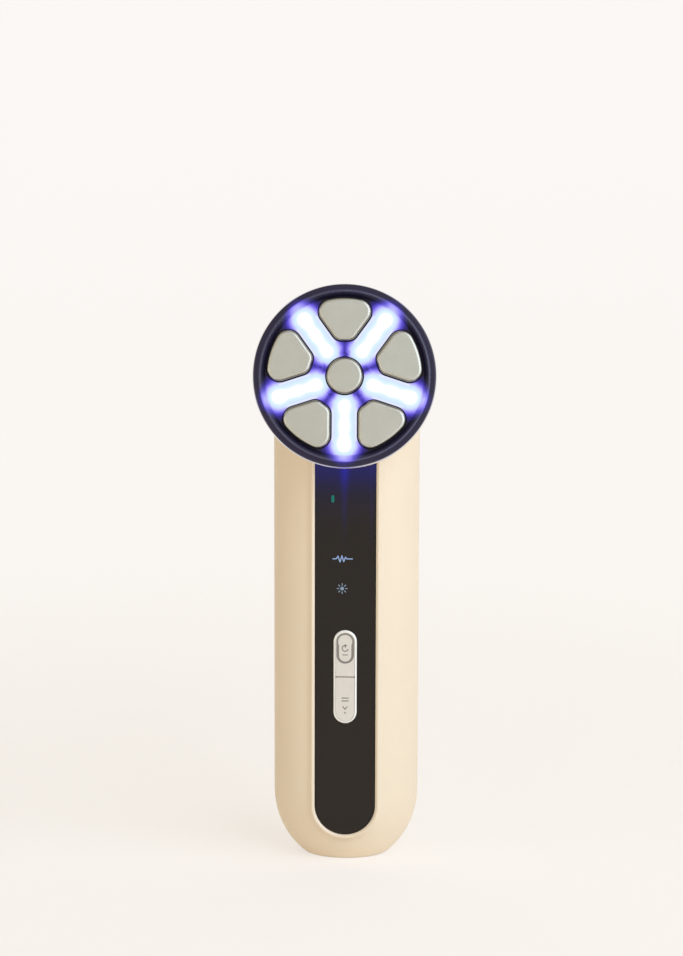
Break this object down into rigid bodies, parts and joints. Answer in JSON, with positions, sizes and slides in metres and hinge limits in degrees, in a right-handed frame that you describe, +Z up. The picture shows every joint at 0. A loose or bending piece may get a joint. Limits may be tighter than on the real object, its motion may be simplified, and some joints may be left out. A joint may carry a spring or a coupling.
{
  "type": "facial toning device",
  "caption": "Cream handle that stands on its flat foot, with a dark panel and press keys, and a round tilted head with metal electrodes between rows of lights.",
  "frame": {"origin": "the middle of the charging socket in the foot, in the plane of the flat foot on which the device stands", "axes": "+Z up along the handle, the panel, the keys and the head face -Y, +X to the right of someone who looks at the front"},
  "size_m": [0.0478, 0.048, 0.1596],
  "materials": {
    "cream_shell": "satin moulded plastic",
    "port_trim": "fine texture",
    "dark_ring": "satin",
    "smoked_window": "gloss, translucent",
    "electrode_metal": "satin nickel plate",
    "seal_rubber": "matt",
    "panel_black": "high gloss",
    "key_pearl": "satin pearl",
    "bezel_bright": "polished plating",
    "inner_white": "matt",
    "inner_black": "matt",
    "plunger_white": "matt",
    "board_green": "solder mask",
    "led_body": "clear cap",
    "contact_gold": "plated",
    "screw_steel": "zinc plate",
    "adhesive": "foam tape",
    "tray_grey": "matt",
    "battery_foil": "foil pouch",
    "lead_wire": "wire jacket",
    "ferrite": "sintered",
    "copper_wire": "enamelled wire",
    "can_metal": "drawn can",
    "socket_steel": "stamped"
  },
  "bodies": {
    "handle": {"front_shell": "cream_shell", "rear_shell": "cream_shell", "port_plate": "port_trim", "head_ring": "dark_ring", "head_gasket": "seal_rubber", "light_window": "smoked_window", "electrode_top": "electrode_metal", "electrode_upper_right": "electrode_metal", "electrode_lower_right": "electrode_metal", "electrode_lower_left": "electrode_metal", "electrode_upper_left": "electrode_metal", "electrode_center": "electrode_metal", "electrode_seals": "seal_rubber", "reflector": "inner_white", "led_board": "board_green", "leds": "led_body", "electrode_contacts": "contact_gold", "head_screws": "screw_steel", "control_panel": "panel_black", "panel_tape": "adhesive", "key_bezel": "bezel_bright", "power_switch": "inner_black", "mode_switch": "inner_black", "main_board": "board_green", "light_guide": "inner_white", "mark_lenses": "led_body", "mark_leds": "led_body", "transformer_core": "ferrite", "transformer_winding": "copper_wire", "capacitors": "can_metal", "control_chips": "inner_black", "battery_tray": "tray_grey", "battery_tape": "adhesive", "battery": "battery_foil", "battery_leads": "lead_wire", "battery_plug": "plunger_white", "usb_shell": "socket_steel", "usb_tongue": "inner_black", "head_cable": "plunger_white", "cable_sockets": "inner_black", "shell_screws": "screw_steel", "board_screws": "screw_steel"},
    "power_key": {"power_key": "key_pearl", "power_plunger": "plunger_white"},
    "mode_key": {"mode_key": "key_pearl", "mode_plunger": "plunger_white"}
  },
  "joints": [
    {"name": "power_press", "type": "slide", "parent": "handle", "child": "power_key", "axis": [0, 1, 0], "range_m": [0, 0.0004], "stiffness_N_per_m": 800, "springref_m": -0.0003},
    {"name": "mode_press", "type": "slide", "parent": "handle", "child": "mode_key", "axis": [0, 1, 0], "range_m": [0, 0.0004], "stiffness_N_per_m": 800, "springref_m": -0.0003}
  ]
}
